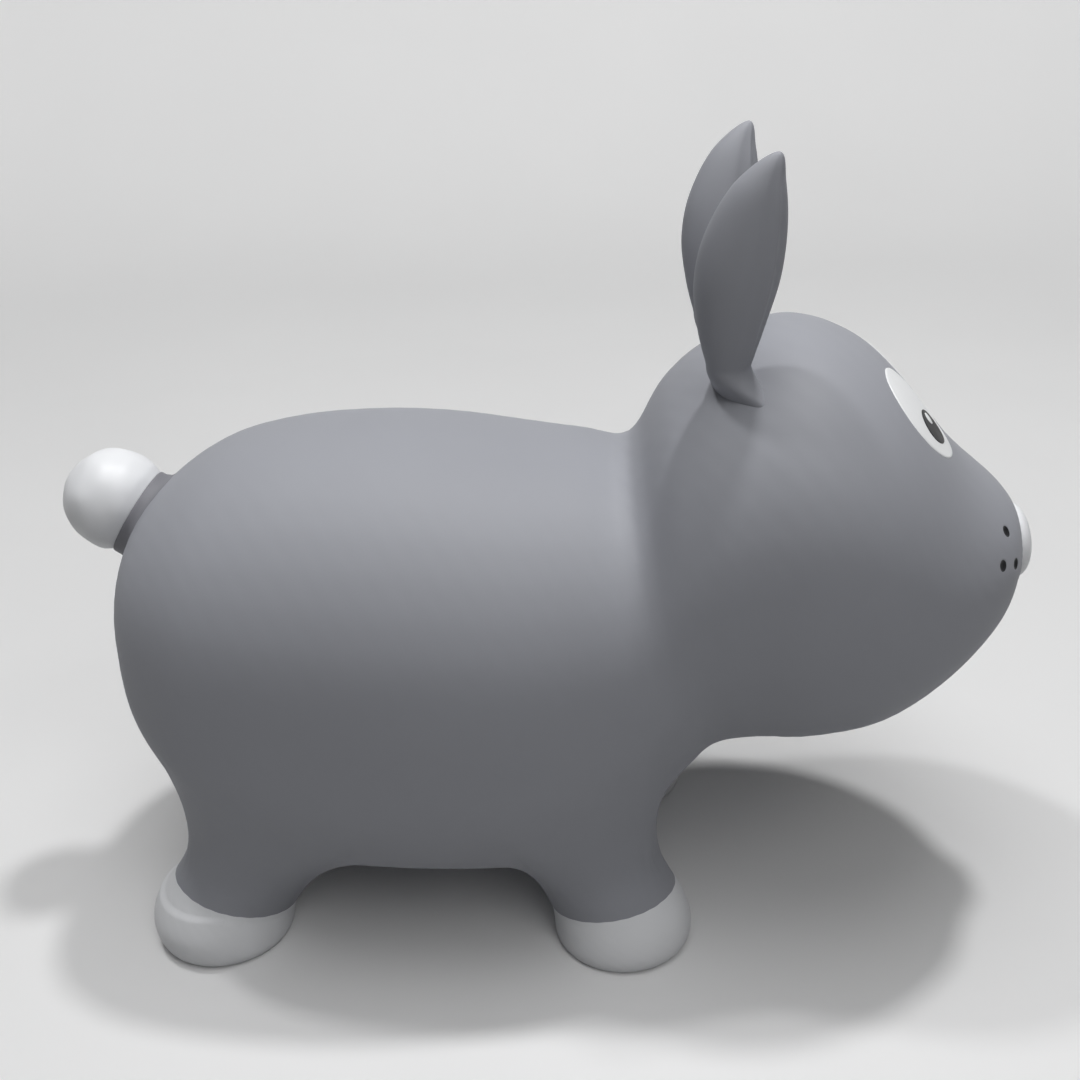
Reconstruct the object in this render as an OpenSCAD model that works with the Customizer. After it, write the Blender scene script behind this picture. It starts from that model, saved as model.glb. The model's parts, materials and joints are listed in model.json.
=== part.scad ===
// Inflatable rabbit hopper: a hollow moulded skin with feet, ears, tail, face and air stopper.
// Millimetres. +X is forward, +Y the animal's left, +Z up, and the feet stand on z = 0.

/* [Torso] */
// Rump to saddle, where the neck rises
torso_length = 284; // [250:1:330]
// Across the barrel
torso_width = 240; // [200:1:270]
// Floor to the middle of the rump
rump_height = 182; // [165:1:200]
// Floor to the top of the back
back_height = 284; // [265:1:310]
// Floor to the dip of the saddle
saddle_height = 269.5; // [255:0.5:285]
// Floor to the belly
belly_height = 44; // [38:1:56]
// Thickness of the moulded skin
wall = 3; // [2:0.25:4]

/* [Head] */
// Saddle to the flat on the muzzle where the nose sits
head_length = 205; // [180:1:235]
// Across the cheeks
head_width = 214; // [180:1:240]
// Across the neck
neck_width = 202; // [180:1:225]
// Floor to the crown
crown_height = 335; // [315:1:360]
// Floor to the chin
chin_height = 115; // [92:1:118]
// Floor to the middle of the muzzle
muzzle_height = 213; // [198:1:222]

/* [Feet] */
// Front feet to rear feet, centre to centre
wheelbase = 233; // [215:1:250]
// How far the front feet stand behind the saddle
front_setback = 7; // [0:1:20]
// Left feet to right feet, centre to centre
track = 140; // [124:1:150]
// Flat of a sole, front to back
sole_length = 64; // [44:1:66]
// Flat of a sole, side to side
sole_width = 58; // [44:1:64]
// Floor to the paint line of the front feet
front_ankle_height = 25; // [20:1:32]
// Floor to the paint line of the rear feet
rear_ankle_height = 27.5; // [20:0.5:32]
// Leg at that line, front to back
ankle_length = 72; // [60:1:84]
// Leg at that line, side to side
ankle_width = 68; // [56:1:78]
// Rear legs slope back by this angle
rear_lean = 19; // [5:1:28]
// Rear soles stand forward of the line of the leg by this much
rear_sole_forward = 3.5; // [0:0.5:6]
// Front legs slope forward by this angle
front_lean = 10; // [0:1:22]
// All legs slope outward by this angle
splay = 12; // [0:1:20]
// Legs widen towards the feet by this angle, at the ends of the body
end_flare = 28; // [10:1:35]
// Legs widen towards the feet by this angle, under the belly
belly_flare = -12; // [-20:1:20]

/* [Ears] */
// Left ear to right ear, centre to centre
ear_spread = 96; // [84:1:110]
// How far the ears stand in front of the saddle
ear_forward = 47; // [40:0.5:60]
// Floor to the neck of an ear, where it bends
ear_neck_height = 329; // [326:1:340]
// Floor to the tips of the ears
ear_tip_height = 425; // [405:1:440]
// Ears lean outward by this angle
ear_splay = 8; // [0:1:15]
// Widest place, front to back
ear_depth = 41; // [32:1:50]
// Widest place, side to side
ear_width = 32; // [24:1:40]
// Neck of the ear, front to back
ear_neck_depth = 21; // [16:1:26]
// Neck of the ear, side to side
ear_neck_width = 20; // [16:1:24]
// Groove around the raised pad on the front of an ear
ear_groove = 1; // [0:0.25:1.5]
// Foot of the ear on the head, the short way
ear_foot_depth = 15; // [13:1:20]
// Foot of the ear on the head, the long way
ear_foot_width = 40; // [34:1:46]
// Long way of the foot turned forward from straight across by this angle
ear_foot_turn = 30; // [0:1:40]
// Foot of the ear stands forward of the ear by this much
ear_foot_forward = 5; // [0:0.5:8]
// Foot of the ear stands inward of the ear by this much
ear_foot_inward = 2; // [0:0.5:5]

/* [Tail] */
// Ball of the tail
tail_diameter = 56; // [44:1:66]
// Stub that carries the ball
collar_diameter = 50; // [36:1:54]
// How far the stub stands out of the rump
collar_height = 5; // [3:0.5:10]
// Floor to the middle of the stub
tail_height = 236; // [222:1:244]

/* [Face] */
// Left eye to right eye, centre to centre
eye_spread = 62; // [56:1:68]
// Floor to the middle of the eyes
eye_height = 298; // [290:1:304]
// White of an eye, along the face
eye_length = 53; // [46:1:60]
// White of an eye, across
eye_width = 51; // [40:1:54]
// Lower end of an eye turned outward by this angle
eye_tilt = 24; // [0:1:40]
// Pupil, along the face
pupil_length = 22; // [16:1:28]
// Pupil, across
pupil_width = 20; // [14:1:24]
// Pupil below the middle of the white
pupil_drop = 8; // [4:1:14]
// Bright spot on the pupil
glint_size = 6.5; // [3:0.5:8]
// Bright spot above the middle of the pupil
glint_rise = 6; // [3:0.5:8]
// Thickness of one printed layer
print_layer = 0.5; // [0.3:0.1:1]
// Nose, top to bottom
nose_height = 41; // [30:1:46]
// Nose, side to side
nose_width = 40; // [30:1:50]
// How far the nose stands out
nose_proud = 8; // [3:0.5:12]
// Whisker dots
dot_diameter = 6; // [4:0.5:9]
// How far a dot stands out
dot_proud = 0.6; // [0.4:0.1:2]
// Floor to the upper dots
dot_height = 241; // [234:1:246]
// Left upper dot to right upper dot
dot_spread = 98; // [88:1:104]
// Lower dots below the upper ones
dot_drop = 12; // [9:1:18]
// Outer lower dots further out than the upper ones, each side
dot_step = 14; // [8:1:16]
// Inner lower dots nearer to the nose than the outer ones
dot_gap = 10; // [8:1:16]
// Inner lower dots below the outer ones
dot_sink = 4; // [0:1:6]

/* [Air valve] */
// Shank of the stopper
plug_diameter = 10; // [7:0.5:13]
// Length of the shank
plug_length = 14; // [10:0.5:18]
// Head of the stopper
plug_head_diameter = 17; // [15:0.5:22]
// Thickness of the head
plug_head_height = 2.4; // [1.5:0.1:4]
// Thickened rim of the air hole
seat_diameter = 26; // [20:0.5:30]
// Depth of the air hole
seat_depth = 12; // [8:0.5:16]

/* [Clearances] */
// Between the stopper's shank and its bore, each side
plug_clearance = 0.05; // [0.02:0.01:0.1]
// Between a printed or raised piece and what carries it
layer_gap = 0.1; // [0.05:0.05:0.3]

/* [Hidden] */
left = 1;
right = -1;
grey = [0.48, 0.48, 0.51];
white = [0.93, 0.94, 0.95];
black = [0.05, 0.05, 0.06];

// Curves and directions
function lerp(a, b, u) = a + (b - a) * u;
function unit(v) = v / norm(v);
function signed_power(v, p) = sign(v) * pow(abs(v), p);
function through(p, u) =
    0.5 * (2 * p[1] + (p[2] - p[0]) * u + (2 * p[0] - 5 * p[1] + 4 * p[2] - p[3]) * u * u
        + (3 * p[1] - p[0] - 3 * p[2] + p[3]) * u * u * u);
function hermite(a, da, b, db, u) =
    (2 * u * u * u - 3 * u * u + 1) * a + (u * u * u - 2 * u * u + u) * da
    + (3 * u * u - 2 * u * u * u) * b + (u * u * u - u * u) * db;

// The body is a loft between a top rail and a bottom rail in its middle plane, from rump to muzzle.
// Each row is a frame: top x, top z, bottom x, bottom z, half width, squareness above and below.
function aft(share) = -torso_length * share;
function fore(share) = head_length * share;
function rump_to_back(share) = lerp(rump_height, back_height, share);
function rump_to_belly(share) = lerp(rump_height, belly_height, share);
function saddle_to_back(share) = lerp(saddle_height, back_height, share);
function saddle_to_crown(share) = lerp(saddle_height, crown_height, share);
function belly_to_chin(share) = lerp(belly_height, chin_height, share);
function muzzle_to_crown(share) = lerp(muzzle_height, crown_height, share);
function muzzle_to_chin(share) = lerp(muzzle_height, chin_height, share);
barrel = torso_width / 2;
cheek = head_width / 2;
neck = neck_width / 2;
shoulder = lerp(neck, barrel, 0.42);
nape = lerp(neck, cheek, 0.6);
round_power = 2;
back_power = 2.3;
head_power = 2.3;
belly_power = 3.1;
chest_power = 2.8;
FRAMES = [
    [aft(1.00), rump_height, aft(1.00), rump_height, 0, back_power, belly_power],
    [aft(0.94), rump_to_back(0.56), aft(0.96), rump_to_belly(0.32), 0.55 * barrel, back_power, belly_power],
    [aft(0.81), rump_to_back(0.86), aft(0.89), rump_to_belly(0.59), 0.80 * barrel, back_power, belly_power],
    [aft(0.66), rump_to_back(0.98), aft(0.77), rump_to_belly(0.84), 0.93 * barrel, back_power, belly_power],
    [aft(0.49), rump_to_back(1.01), aft(0.58), rump_to_belly(0.97), 0.99 * barrel, back_power, belly_power],
    [aft(0.34), saddle_to_back(0.90), aft(0.38), belly_height, barrel, back_power, belly_power],
    [aft(0.20), saddle_to_back(0.48), aft(0.19), belly_to_chin(0.03), 0.97 * barrel, back_power, belly_power],
    [aft(0.09), saddle_to_back(0.17), aft(0.04), belly_to_chin(0.23), shoulder, back_power, chest_power],
    [fore(0.00), saddle_height, fore(0.135), belly_to_chin(0.66), neck, back_power, head_power],
    [fore(0.09), saddle_to_crown(0.46), fore(0.22), belly_to_chin(0.93), neck, head_power, head_power],
    [fore(0.21), saddle_to_crown(0.79), fore(0.33), chin_height, nape, head_power, head_power],
    [fore(0.41), crown_height, fore(0.45), chin_height, cheek, head_power, head_power],
    [fore(0.615), muzzle_to_crown(0.86), fore(0.62), muzzle_to_chin(0.92), 0.94 * cheek,
        head_power, head_power],
    [fore(0.815), muzzle_to_crown(0.475), fore(0.75), muzzle_to_chin(0.715), 0.78 * cheek,
        head_power, head_power],
    [fore(0.95), muzzle_to_crown(0.27), fore(0.895), muzzle_to_chin(0.435), 0.52 * cheek,
        head_power, head_power],
    [fore(0.99), muzzle_height + nose_height / 2, fore(1.01), muzzle_height - nose_height / 2, nose_width / 2,
        round_power, round_power]
];
LAST = len(FRAMES) - 1;
// Share of the height at which a section is widest
belt = 0.47;
function frame_row(k) =
    k < 0 ? [FRAMES[1][2], FRAMES[1][3], FRAMES[1][0], FRAMES[1][1], -FRAMES[1][4], back_power, belly_power]
    : k > LAST ? 2 * FRAMES[LAST] - FRAMES[LAST - 1]
    : FRAMES[k];
function frame_at(t) =
    let (k = max(0, min(floor(t), LAST - 1)))
    through([frame_row(k - 1), frame_row(k), frame_row(k + 1), frame_row(k + 2)], t - k);

// A point of a section: angle 0 is the left side, 90 the top rail, 270 the bottom rail
function section_point(f, a) =
    let (top = [f[0], 0, f[1]])
    let (bottom = [f[2], 0, f[3]])
    let (power = 2 / (sin(a) > 0 ? f[5] : f[6]))
    let (rise = signed_power(sin(a), power) * (sin(a) > 0 ? 1 - belt : belt))
    lerp(bottom, top, belt + rise) + [0, f[4] * signed_power(cos(a), power), 0];
function skin_point(t, a) = section_point(frame_at(t), a);
nudge_t = 0.02;
nudge_a = 0.5;
function skin_normal(t, a) =
    unit(cross(skin_point(t, a + nudge_a) - skin_point(t, a - nudge_a),
        skin_point(t + nudge_t, a) - skin_point(t - nudge_t, a)));
function skin(t, a, lift = 0) = lift == 0 ? skin_point(t, a) : skin_point(t, a) + lift * skin_normal(t, a);

// Place on the skin, as [t, a], that lies u along e1 and v along e2 from point p
function skin_place(p, e1, e2, u, v, t, a, steps = 8) =
    steps == 0 ? [t, a] :
    let (q = skin_point(t, a))
    let (qt = (skin_point(t + nudge_t, a) - q) / nudge_t)
    let (qa = (skin_point(t, a + nudge_a) - q) / nudge_a)
    let (ru = u - (q - p) * e1)
    let (rv = v - (q - p) * e2)
    let (d = (qt * e1) * (qa * e2) - (qa * e1) * (qt * e2))
    skin_place(p, e1, e2, u, v,
        t + (ru * (qa * e2) - rv * (qa * e1)) / d,
        a + (rv * (qt * e1) - ru * (qt * e2)) / d, steps - 1);
// Place on the skin above or below a point of the floor, and before or behind a point of the cross plane
function over_skin(x, y, t, a) = skin_place([0, 0, 0], [1, 0, 0], [0, 1, 0], x, y, t, a);
function before_skin(y, z, t, a) = skin_place([0, 0, 0], [0, 1, 0], [0, 0, 1], y, z, t, a);

// Skin mesh: rings along the body, with windows where the legs and the air hole open
sides = 36;
ring_steps = 3;
rings = LAST * ring_steps;
turn = 360 / sides;
leg_levels = 5;
REAR_RINGS = [2 * ring_steps, 4 * ring_steps + 1];
FRONT_RINGS = [6 * ring_steps - 1, 8 * ring_steps];
LEFT_SIDES = [28, 34];
RIGHT_SIDES = [20, 26];
// Each leg: its window of rings and sides, side of the body, foot place, lean, ankle height, end of the
// body, and how far the sole stands forward
rear_x = -front_setback - wheelbase;
front_x = -front_setback;
LEGS = [
    [FRONT_RINGS, LEFT_SIDES, left, front_x, -front_lean, front_ankle_height, 1, 0],
    [FRONT_RINGS, RIGHT_SIDES, right, front_x, -front_lean, front_ankle_height, 1, 0],
    [REAR_RINGS, LEFT_SIDES, left, rear_x, rear_lean, rear_ankle_height, -1, rear_sole_forward],
    [REAR_RINGS, RIGHT_SIDES, right, rear_x, rear_lean, rear_ankle_height, -1, rear_sole_forward]
];
valve_t = 5;
PORT_RINGS = [valve_t * ring_steps - 2, valve_t * ring_steps + 2];
PORT_SIDES = [25, 29];
function window_loop(r, s) = concat(
    [for (i = [r[0]:1:r[1] - 1]) [i, s[0]]],
    [for (j = [s[0]:1:s[1] - 1]) [r[1], j]],
    [for (i = [r[1]:-1:r[0] + 1]) [i, s[1]]],
    [for (j = [s[1]:-1:s[0] + 1]) [r[0], j]]);
// Step back out of a window from a point of its edge
function outward(n, r, s) = [
    n[0] == r[0] ? -1 : n[0] == r[1] ? 1 : 0,
    n[1] == s[0] ? -1 : n[1] == s[1] ? 1 : 0
];
function mesh_point(n, lift) = skin(n[0] / ring_steps, n[1] * turn, lift);

// A leg's ankle: centre, axis towards the foot, and the ring around it
function foot_centre(leg) = [leg[3], leg[2] * track / 2, 0];
function ankle_centre(leg) =
    foot_centre(leg) + leg[5] * [tan(leg[4]), -leg[2] * tan(splay), 1];
function sole_centre(leg) = foot_centre(leg) + [leg[7], 0, 0];
function leg_axis(leg) = unit(foot_centre(leg) - ankle_centre(leg));
function ring_spoke(leg, angle, length, width) =
    let (axis = leg_axis(leg))
    let (ex = unit([1, 0, 0] - axis[0] * axis))
    ex * cos(angle) * length / 2 + cross(ex, axis) * sin(angle) * width / 2;
function ankle_point(leg, angle, lift) =
    ankle_centre(leg) + ring_spoke(leg, angle, ankle_length + 2 * lift, ankle_width + 2 * lift);
// 0 on the belly side of a leg and 1 on the side towards the end of the body
function end_share(leg, angle) = 0.5 + leg[6] * cos(angle) / 2;
function ankle_direction(leg, angle) =
    let (flare = lerp(belly_flare, end_flare, end_share(leg, angle)))
    leg_axis(leg) * cos(flare) + unit(ring_spoke(leg, angle, 1, 1)) * sin(flare);
// A window's loop begins at its rear right corner, seen from above
function loop_angle(k, points, rings) = 270 + 360 * (k - rings / 2) / points;
leg_rings = REAR_RINGS[1] - REAR_RINGS[0];
loop_points = 2 * (leg_rings + LEFT_SIDES[1] - LEFT_SIDES[0]);
function leg_angle(k) = loop_angle(k, loop_points, leg_rings);
// How far the skin runs on into a leg: at the chest, at the rump and under the belly
chest_pull = 0.9;
rump_pull = 0.1;
belly_pull = 0.5;
ankle_pull = 1.05;
function leg_points(leg, lift) =
    let (loop = window_loop(leg[0], leg[1]))
    [for (level = [1:leg_levels])
        [for (k = [0:loop_points - 1])
            let (n = loop[k])
            let (q = mesh_point(n, lift))
            let (inflow = unit(q - mesh_point(n + outward(n, leg[0], leg[1]), lift)))
            let (end = ankle_point(leg, leg_angle(k), lift))
            let (reach = norm(end - q))
            let (far_pull = leg[6] > 0 ? chest_pull : rump_pull)
            let (hip_pull = lerp(belly_pull, far_pull, end_share(leg, leg_angle(k))))
            let (outflow = ankle_direction(leg, leg_angle(k)))
            hermite(q, inflow * hip_pull * reach, end, outflow * ankle_pull * reach, level / leg_levels)]];

// The air hole, a round port in the belly
port_rings = PORT_RINGS[1] - PORT_RINGS[0];
port_points = 2 * (port_rings + PORT_SIDES[1] - PORT_SIDES[0]);
valve_x = FRAMES[valve_t][2];
port_radius = (seat_diameter / 2 + layer_gap) / cos(180 / port_points);
function port_ring(lift) =
    [for (k = [0:port_points - 1])
        let (angle = loop_angle(k, port_points, port_rings))
        [valve_x + port_radius * cos(angle), port_radius * sin(angle), belly_height - lift]];

// Meshes
function quad(a, b, c, d) = [[a, b, c], [a, c, d]];
function flat(lists) = [for (l = lists) each l];
// Triangles between two loops of n points that start at index p and index q
function belt_faces(p, q, n) = flat([for (k = [0:n - 1])
    quad(p + k, p + (k + 1) % n, q + (k + 1) % n, q + k)]);
// Closed solid through a list of rings, with a point at either end
module closed_loft(ring_list, first, last) {
    n = len(ring_list[0]);
    count = len(ring_list);
    tip = count * n;
    faces = concat(
        [for (k = [0:n - 1]) [tip, (k + 1) % n, k]],
        flat([for (r = [0:count - 2]) belt_faces(r * n, (r + 1) * n, n)]),
        [for (k = [0:n - 1]) [tip + 1, tip - n + k, tip - n + (k + 1) % n]]);
    polyhedron(concat(flat(ring_list), [first, last]), faces, convexity = 6);
}
// Closed solid through a list of rings, whose last ring meets the first
module closed_ring(ring_list) {
    n = len(ring_list[0]);
    count = len(ring_list);
    polyhedron(flat(ring_list),
        flat([for (r = [0:count - 1]) belt_faces(r * n, ((r + 1) % count) * n, n)]), convexity = 6);
}

// One face of the skin, outer with lift 0 or inner: rings, rump point, muzzle point, legs, air hole
muzzle_axis = unit(cross([0, 1, 0], section_point(FRAMES[LAST], 90) - section_point(FRAMES[LAST], 270)));
muzzle_centre = lerp(section_point(FRAMES[LAST], 90), section_point(FRAMES[LAST], 270), 0.5);
function skin_points(lift) = concat(
    [for (i = [1:rings]) for (j = [0:sides - 1])
        mesh_point([i, j], lift) + (i == rings ? lift * muzzle_axis : [0, 0, 0])],
    [skin_point(0, 0) - [lift, 0, 0], muzzle_centre + lift * muzzle_axis],
    flat([for (leg = LEGS) flat(leg_points(leg, lift))]),
    port_ring(lift));
face_points = rings * sides + 2 + len(LEGS) * leg_levels * loop_points + port_points;
function grid_index(n) = (n[0] - 1) * sides + n[1] % sides;
function in_window(i, j, r, s) = i >= r[0] && i < r[1] && j >= s[0] && j < s[1];
function open_at(i, j) =
    in_window(i, j, PORT_RINGS, PORT_SIDES)
    || len([for (leg = LEGS) if (in_window(i, j, leg[0], leg[1])) leg]) > 0;
function leg_index(l, level, k) =
    level == 0 ? grid_index(window_loop(LEGS[l][0], LEGS[l][1])[k % loop_points])
    : rings * sides + 2 + (l * leg_levels + level - 1) * loop_points + k % loop_points;
function port_index(k) = face_points - port_points + k % port_points;
PORT_LOOP = window_loop(PORT_RINGS, PORT_SIDES);
SKIN_FACES = concat(
    flat([for (i = [1:rings - 1]) for (j = [0:sides - 1]) if (!open_at(i, j))
        quad(grid_index([i, j]), grid_index([i + 1, j]),
            grid_index([i + 1, j + 1]), grid_index([i, j + 1]))]),
    [for (j = [0:sides - 1]) [rings * sides, grid_index([1, j]), grid_index([1, j + 1])]],
    [for (j = [0:sides - 1]) [rings * sides + 1, grid_index([rings, j + 1]), grid_index([rings, j])]],
    flat([for (l = [0:len(LEGS) - 1]) for (level = [0:leg_levels - 1]) for (k = [0:loop_points - 1])
        quad(leg_index(l, level, k), leg_index(l, level, k + 1),
            leg_index(l, level + 1, k + 1), leg_index(l, level + 1, k))]),
    flat([for (k = [0:port_points - 1])
        quad(grid_index(PORT_LOOP[k]), grid_index(PORT_LOOP[(k + 1) % port_points]),
            port_index(k + 1), port_index(k))]));
// Rims that join the outer face to the inner one, at the ankles and at the air hole
RIM_FACES = concat(
    flat([for (l = [0:len(LEGS) - 1])
        belt_faces(leg_index(l, leg_levels, 0), face_points + leg_index(l, leg_levels, 0), loop_points)]),
    belt_faces(port_index(0), face_points + port_index(0), port_points));

// Tail, on the skin of the rump
tail_place = before_skin(0, tail_height, 1, 90);
tail_base = skin_point(tail_place[0], tail_place[1]);
tail_axis = skin_normal(tail_place[0], tail_place[1]);
tail_across = [0, 1, 0];
tail_up = cross(tail_axis, tail_across);
tail_radius = tail_diameter / 2;
collar_radius = collar_diameter / 2;
ball_rise = sqrt(tail_radius * tail_radius - collar_radius * collar_radius);
tail_centre = tail_base + (collar_height + ball_rise) * tail_axis;

// The whole part is centred between the tail and the nose
nose_tip = muzzle_centre + (layer_gap + nose_proud) * muzzle_axis;
centre_x = -(tail_centre[0] - tail_radius + nose_tip[0]) / 2;
module placed() {
    translate([centre_x, 0, 0]) children();
}

module body_skin() {
    color(grey) placed()
        polyhedron(concat(skin_points(0), skin_points(-wall)),
            concat(SKIN_FACES, RIM_FACES,
                [for (f = SKIN_FACES) [face_points + f[2], face_points + f[1], face_points + f[0]]]),
            convexity = 10);
}

// Foot: a cup from the ankle ring to a flat sole
foot_levels = 6;
hollow_levels = 2;
foot_pull = 1.25;
function foot_ring(leg, u, inset) =
    [for (k = [0:loop_points - 1])
        let (angle = leg_angle(k))
        let (start = ankle_point(leg, angle, -inset))
        let (spoke = [cos(angle) * (sole_length - inset) / 2, sin(angle) * (sole_width - inset) / 2, 0])
        let (end = sole_centre(leg) + spoke + [0, 0, inset])
        let (reach = foot_pull * norm(end - start))
        hermite(start, ankle_direction(leg, angle) * reach, end, -unit(spoke) * reach, u)];
module foot(leg) {
    color(white) placed()
        closed_loft(concat(
                [for (level = [hollow_levels:-1:0]) foot_ring(leg, level / hollow_levels, wall)],
                [for (level = [0:foot_levels]) foot_ring(leg, level / foot_levels, 0)]),
            sole_centre(leg) + [0, 0, wall], sole_centre(leg));
}

// Ear: a loft between its front edge and its back edge, with a groove down either side of the front.
// Rows: front x, front z, back x, back z and half width, counted from the neck.
ear_sides = 18;
ear_steps = 3;
ear_length = (ear_tip_height - ear_neck_height) / cos(ear_splay);
function ear_up(share) = ear_length * share;
EAR_FRAMES = [
    [ear_neck_depth / 2, 0, -ear_neck_depth / 2, 0, ear_neck_width / 2],
    [0.385 * ear_depth, ear_up(0.20), -0.36 * ear_depth, ear_up(0.18), 0.43 * ear_width],
    [0.525 * ear_depth, ear_up(0.44), -0.42 * ear_depth, ear_up(0.41), 0.50 * ear_width],
    [0.56 * ear_depth, ear_up(0.67), -0.315 * ear_depth, ear_up(0.64), 0.44 * ear_width],
    [0.515 * ear_depth, ear_up(0.87), -0.015 * ear_depth, ear_up(0.87), 0.27 * ear_width],
    [0.42 * ear_depth, ear_up(1.00), 0.42 * ear_depth, ear_up(1.00), 0]
];
EAR_LAST = len(EAR_FRAMES) - 1;
function ear_row(k) =
    k < 0 ? 2 * EAR_FRAMES[0] - EAR_FRAMES[1]
    : k > EAR_LAST ? let (f = EAR_FRAMES[EAR_LAST - 1]) [f[2], f[3], f[0], f[1], -f[4]]
    : EAR_FRAMES[k];
function ear_frame_at(t) =
    let (k = max(0, min(floor(t), EAR_LAST - 1)))
    through([ear_row(k - 1), ear_row(k), ear_row(k + 1), ear_row(k + 2)], t - k);
// The groove fades out towards the neck and the tip
groove_angle = 50;
groove_spread = 9;
function groove_share(t, a) =
    sin(180 * t / EAR_LAST) * exp(-pow((abs(a - 90) - groove_angle) / groove_spread, 2));
function ear_point(t, a) =
    let (f = ear_frame_at(t))
    let (middle = lerp([f[2], 0, f[3]], [f[0], 0, f[1]], 0.5))
    let (spoke = sin(a) / 2 * [f[0] - f[2], 0, f[1] - f[3]] + [0, f[4] * cos(a), 0])
    middle + spoke * (1 - 2 * ear_groove / ear_depth * groove_share(t, a));
function ear_normal(t, a) =
    unit(cross(ear_point(t + nudge_t, a) - ear_point(t - nudge_t, a),
        ear_point(t, a + nudge_a) - ear_point(t, a - nudge_a)));
function ear_ring(t, inset) =
    [for (k = [0:ear_sides - 1])
        let (a = 360 * k / ear_sides)
        let (n = ear_normal(max(t, nudge_t), a))
        ear_point(t, a) - inset * (t == 0 ? unit([n[0], n[1], 0]) : n)];
function ear_place(side, p) =
    [ear_forward, side * ear_spread / 2, ear_neck_height]
    + [p[0], p[1] * cos(ear_splay) + side * p[2] * sin(ear_splay),
        p[2] * cos(ear_splay) - side * p[1] * sin(ear_splay)];
function ear_rings(side, list) = [for (ring = list) [for (p = ring) ear_place(side, p)]];
outer_rings = EAR_LAST * ear_steps - 1;
inner_rings = outer_rings - ear_steps;
module ear(side) {
    inner_tip = ear_frame_at((inner_rings + 1) / ear_steps);
    color(grey) placed()
        closed_loft(ear_rings(side, concat(
                [for (r = [inner_rings:-1:0]) ear_ring(r / ear_steps, wall)],
                [for (r = [0:outer_rings]) ear_ring(r / ear_steps, 0)])),
            ear_place(side, lerp([inner_tip[0], 0, inner_tip[1]], [inner_tip[2], 0, inner_tip[3]], 0.5)),
            ear_place(side, ear_point(EAR_LAST, 90)));
}

// Foot of an ear: a flared neck from the skin of the head up to the ear's neck ring
root_levels = 3;
root_rise = 6;
// First guess of the place: frame and angle from the top rail
root_t = 10;
root_a = 30;
function root_place(side) = over_skin(ear_forward, side * ear_spread / 2, root_t, 90 - side * root_a);
function root_ring(side, u, inset) =
    let (base = root_place(side))
    let (neck_ring = ear_ring(0, inset))
    let (turn_x = cos(ear_foot_turn))
    let (turn_y = side * sin(ear_foot_turn))
    [for (k = [0:ear_sides - 1])
        let (a = 360 * k / ear_sides - side * ear_foot_turn)
        let (short = sin(a) * (ear_foot_depth / 2 - inset))
        let (long = cos(a) * (ear_foot_width / 2 - inset))
        let (x = ear_forward + ear_foot_forward + short * turn_x + long * turn_y)
        let (y = side * (ear_spread / 2 - ear_foot_inward) - short * turn_y + long * turn_x)
        let (spot = over_skin(x, y, base[0], base[1]))
        let (start = skin(spot[0], spot[1], layer_gap))
        let (end = ear_place(side, neck_ring[k]))
        let (reach = norm(end - start))
        let (lean = unit([end[0] - start[0], end[1] - start[1], 0] + [0, 0, root_rise]))
        hermite(start, lean * reach, end, reach * [0, side * sin(ear_splay), cos(ear_splay)], u)];
module ear_root(side) {
    color(grey) placed()
        closed_ring(concat(
            [for (level = [0:root_levels]) root_ring(side, level / root_levels, 0)],
            [for (level = [root_levels:-1:0]) root_ring(side, level / root_levels, wall)]));
}

// Tail: a short stub that follows the skin, and a hollow ball cut to sit on it
collar_sides = 28;
function collar_ring(radius, on_skin) =
    [for (k = [0:collar_sides - 1])
        let (u = radius * cos(360 * k / collar_sides))
        let (v = radius * sin(360 * k / collar_sides))
        let (spot = skin_place(tail_base, tail_up, tail_across, u, v, tail_place[0], tail_place[1]))
        on_skin ? skin(spot[0], spot[1], layer_gap)
        : tail_base + collar_height * tail_axis + u * tail_up + v * tail_across];
module tail_collar() {
    color(grey) placed()
        closed_ring([collar_ring(collar_radius, true), collar_ring(collar_radius, false),
            collar_ring(collar_radius - wall, false), collar_ring(collar_radius - wall, true)]);
}
module tail_ball() {
    color(white) placed() translate(tail_centre)
        rotate([0, atan2(tail_axis[0], tail_axis[2]), 0])
        difference() {
            sphere(tail_radius);
            sphere(tail_radius - wall);
            translate([0, 0, -ball_rise - tail_radius]) cube(tail_diameter, center = true);
        }
}

// Nose: a dome on the flat of the muzzle
nose_sides = 28;
nose_levels = 5;
function nose_ring(share, height) =
    [for (k = [0:nose_sides - 1])
        let (rim = section_point(FRAMES[LAST], -360 * k / nose_sides))
        lerp(muzzle_centre, rim, share) + height * muzzle_axis];
module nose() {
    color(white) placed()
        closed_loft([for (level = [0:nose_levels - 1])
                let (a = 90 * level / nose_levels)
                nose_ring(cos(a), layer_gap + nose_proud * sin(a))],
            muzzle_centre + layer_gap * muzzle_axis, nose_tip);
}

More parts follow.
